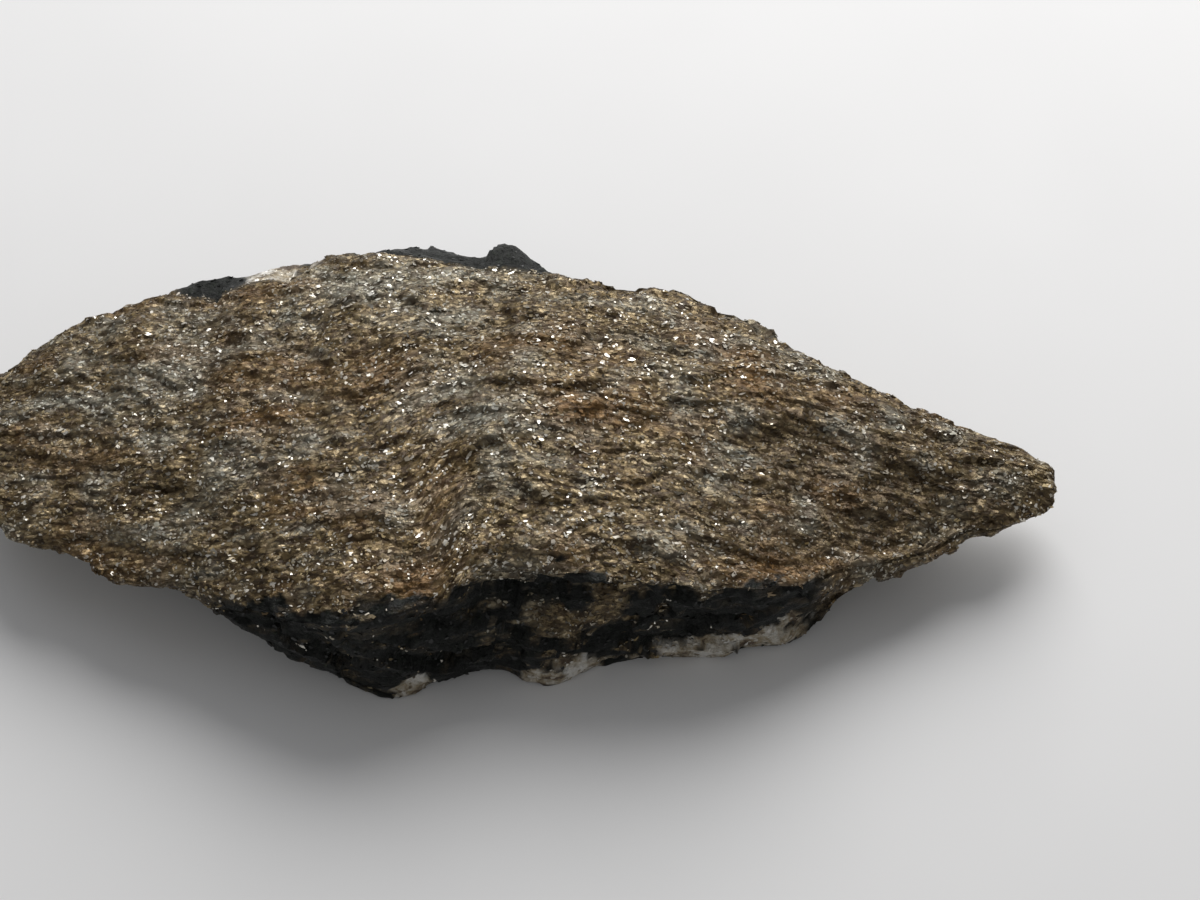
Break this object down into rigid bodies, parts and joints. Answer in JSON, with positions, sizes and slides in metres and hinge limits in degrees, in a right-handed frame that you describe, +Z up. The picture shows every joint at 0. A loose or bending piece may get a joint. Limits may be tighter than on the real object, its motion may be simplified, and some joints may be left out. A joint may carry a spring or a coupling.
{
  "type": "mica schist",
  "caption": "Lens-shaped hand specimen of mica schist: a terraced, glittering mica face, a steep dark flank with quartz lenses at its foot, and a flat underside to rest on.",
  "frame": {"origin": "centre of the base of the bounding box, on the surface that the stone rests on", "axes": "+X along the stone from its broad end to its sharp one, +Y away from the dark near flank, +Z up out of the mica face"},
  "size_m": [0.184, 0.076, 0.0306],
  "materials": {
    "schist": "rough foliated mica with bright flakes, black flanks and white quartz lenses"
  },
  "bodies": {
    "root": {"schist": "schist"}
  },
  "joints": []
}
